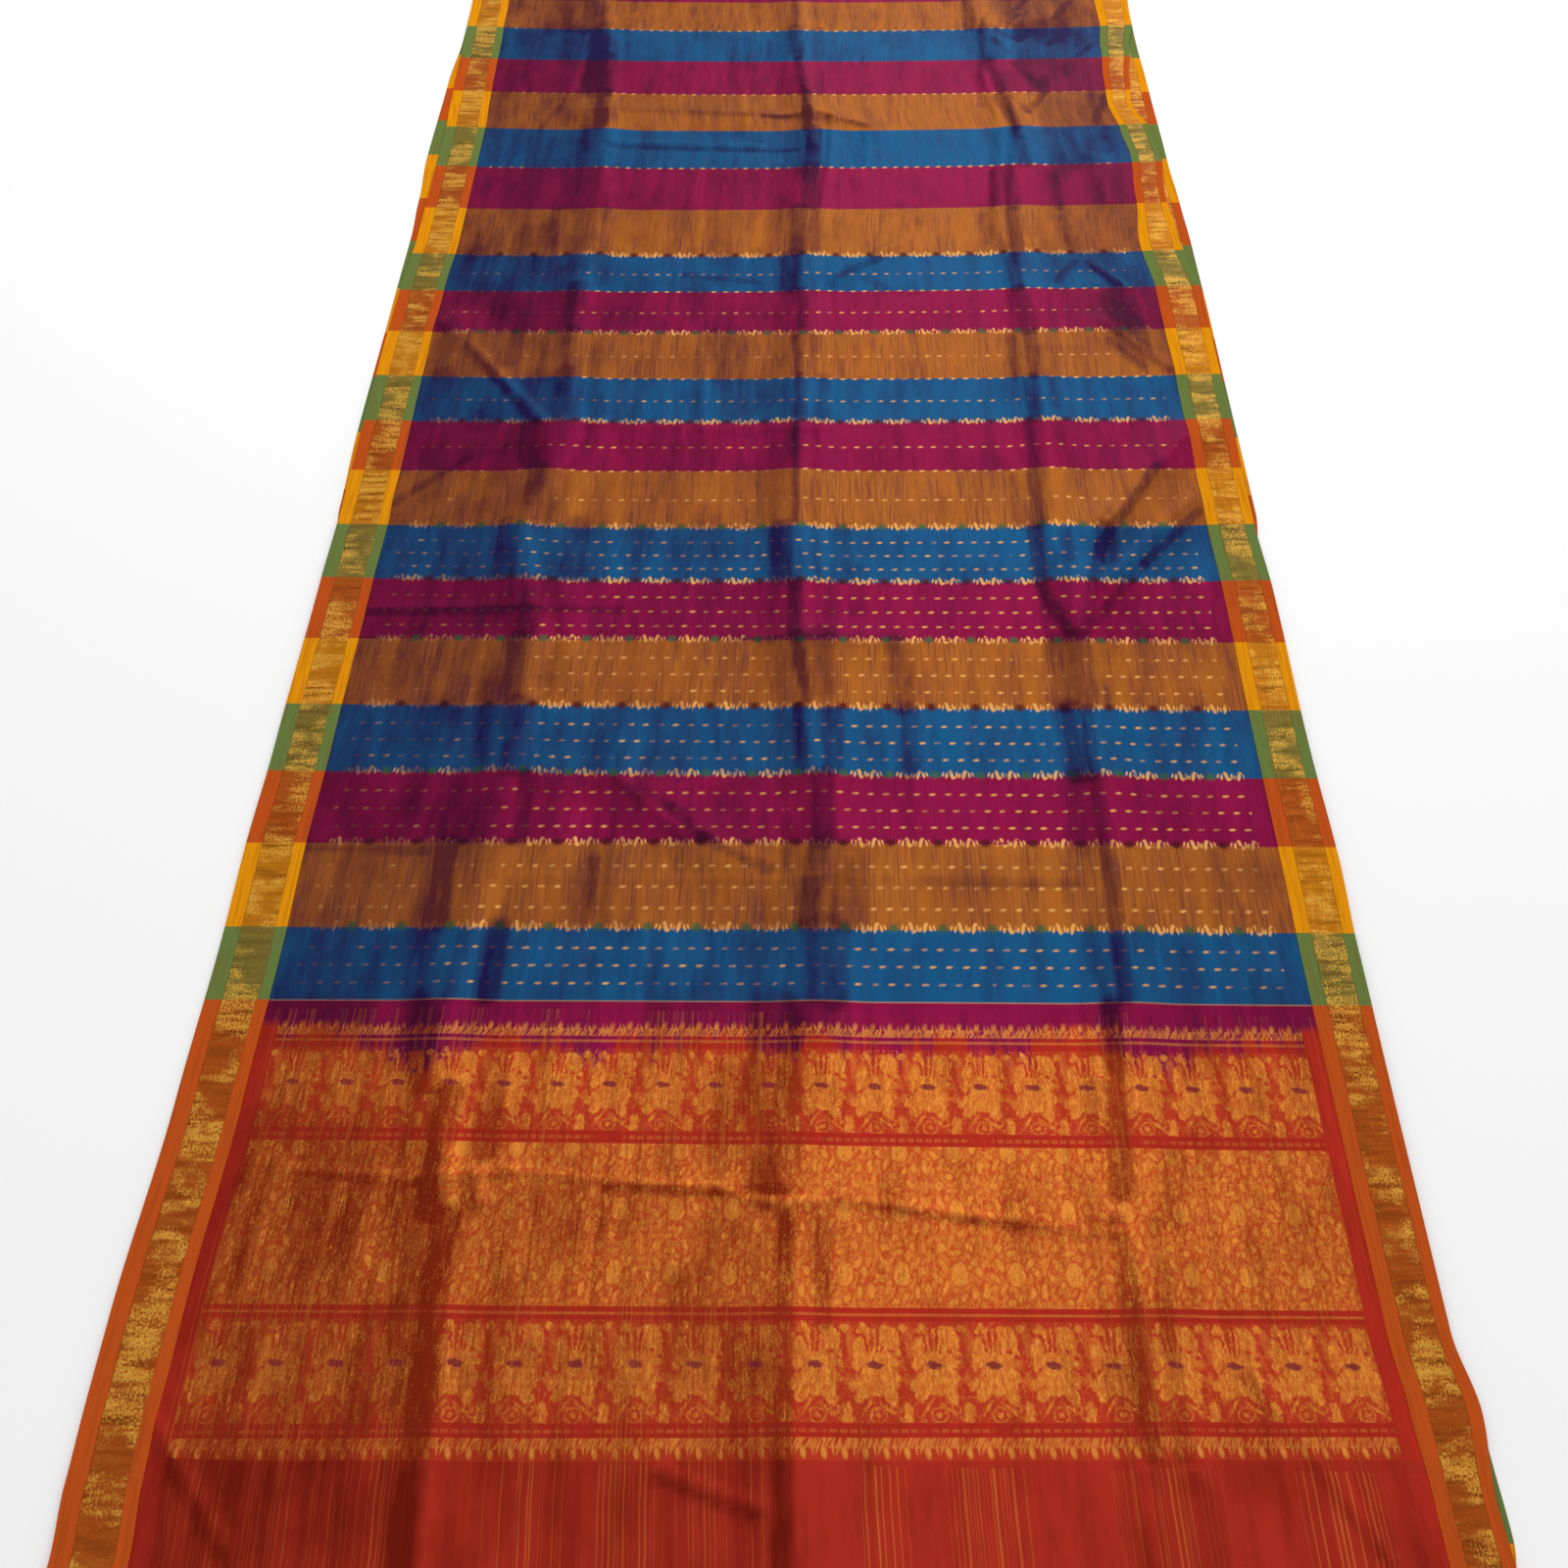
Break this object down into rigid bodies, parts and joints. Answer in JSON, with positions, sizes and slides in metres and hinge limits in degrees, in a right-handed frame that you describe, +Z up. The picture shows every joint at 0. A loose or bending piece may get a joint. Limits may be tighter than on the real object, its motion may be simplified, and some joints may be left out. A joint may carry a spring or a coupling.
{
  "type": "saree",
  "caption": "Silk saree laid flat and folded across its length into two layers, with a gold-figured end panel, bright cross stripes and gold-banded borders.",
  "frame": {"origin": "centre of the laid-out cloth, on the surface it lies on", "axes": "+X to the right across the cloth, +Y along the cloth from the near ends to the fold, +Z up"},
  "size_m": [1.162, 2.75, 0.017],
  "materials": {
    "plain_end_silk": "red-orange silk with groups of fine yellow warp lines",
    "pallu_silk": "gold brocade figures on red silk",
    "flowered_silk": "shot silk in blue, magenta and bronze stripes with woven dashes and flowers",
    "striped_silk": "shot silk in blue, magenta and bronze stripes",
    "under_silk": "the back of the same shot silk",
    "border_silk": "yellow, green and orange silk squares with a puckered gold band"
  },
  "bodies": {
    "root": {"plain_end": "plain_end_silk", "pallu": "pallu_silk", "body_flowered": "flowered_silk", "body_striped": "striped_silk", "body_under": "under_silk", "border_left": "border_silk", "border_right": "border_silk", "border_left_under": "border_silk", "border_right_under": "border_silk"}
  },
  "joints": []
}
